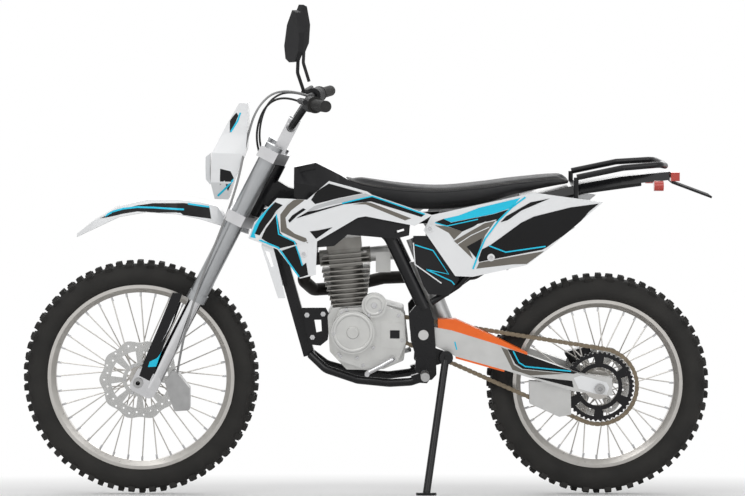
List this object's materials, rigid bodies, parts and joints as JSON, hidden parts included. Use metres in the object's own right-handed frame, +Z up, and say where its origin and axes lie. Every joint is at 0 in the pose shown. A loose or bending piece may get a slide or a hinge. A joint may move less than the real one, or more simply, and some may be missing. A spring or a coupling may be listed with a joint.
{
  "type": "motocross bike with road lights",
  "caption": "Off-road motorcycle with knobbly tyres, wire wheels, long upside-down fork, finned engine, rear rack and road lights, leaning on its side stand.",
  "frame": {"origin": "on the floor under the middle of the whole bike as it leans on its side stand", "axes": "+X forward along the bike, +Y to the rider's left, where it leans, +Z up"},
  "size_m": [2.053, 0.8076, 1.4959],
  "materials": {
    "black_frame": "satin",
    "silver_alloy": "satin",
    "fork_silver": "anodised",
    "steel": "brushed",
    "chrome": "polished",
    "black_plastic": "matte",
    "body_plastic": "gloss",
    "dark_plastic": "gloss",
    "orange_plastic": "gloss",
    "seat_cover": "grained",
    "tyre": "matte",
    "rubber": "matte",
    "lens": "clear",
    "lamp": "gloss",
    "chain_steel": "oiled"
  },
  "bodies": {
    "chassis": {"frame_backbone": "black_frame", "down_tube": "black_frame", "engine_cradle": "black_frame", "frame_spars": "black_frame", "subframe": "black_frame", "engine_case": "silver_alloy", "engine_cover_left": "silver_alloy", "engine_cover_right": "silver_alloy", "cylinder": "silver_alloy", "cylinder_head": "silver_alloy", "carburettor": "silver_alloy", "exhaust_header": "black_frame", "silencer": "steel", "fuel_tank": "dark_plastic", "seat": "seat_cover", "shroud_left": "body_plastic", "shroud_right": "body_plastic", "side_panel_left": "body_plastic", "side_panel_right": "body_plastic", "airbox": "black_plastic", "rear_fender": "dark_plastic", "rear_rack": "black_frame", "tail_lights": "lamp", "plate_bracket": "black_plastic", "swingarm": "silver_alloy", "chain_slider": "orange_plastic", "chain_guide": "silver_alloy", "chain": "chain_steel", "rear_shock": "steel", "footpegs": "steel", "gear_lever": "chrome", "brake_pedal": "steel", "rear_axle": "steel", "rear_caliper": "black_frame"},
    "steering": {"triple_clamps": "silver_alloy", "handlebar_risers": "silver_alloy", "fork_outer": "fork_silver", "fork_inner": "fork_silver", "fork_guards": "dark_plastic", "front_fender": "body_plastic", "headlight_mask": "body_plastic", "headlight_lens": "lens", "handlebar": "black_frame", "grips": "rubber", "controls": "black_plastic", "mirrors": "black_plastic", "front_caliper": "steel", "front_axle": "steel"},
    "front_wheel": {"front_tyre": "tyre", "front_rim": "silver_alloy", "front_hub": "steel", "front_disc": "steel"},
    "rear_wheel": {"rear_tyre": "tyre", "rear_rim": "silver_alloy", "rear_hub": "steel", "rear_disc": "steel", "rear_sprocket": "black_frame"},
    "stand": {"side_stand": "black_frame"}
  },
  "joints": [
    {"name": "steering", "type": "hinge", "parent": "chassis", "child": "steering", "pos_m": [0.25572, -0.02976, 1.00216], "axis": [-0.4586, 0.1543, 0.8751], "range_deg": [-40, 40]},
    {"name": "front_wheel_spin", "type": "hinge", "parent": "steering", "child": "front_wheel", "pos_m": [0.6725, -0.14451, 0.3514], "axis": [0, 0.9848, -0.1736], "continuous": true},
    {"name": "rear_wheel_spin", "type": "hinge", "parent": "chassis", "child": "rear_wheel", "pos_m": [-0.6925, -0.14798, 0.3317], "axis": [0, 0.9848, -0.1736], "continuous": true},
    {"name": "side_stand_fold", "type": "hinge", "parent": "chassis", "child": "stand", "pos_m": [-0.2355, -0.00526, 0.40402], "axis": [-0.1134, 0.9928, -0.0384], "range_deg": [0, 120.94]}
  ]
}
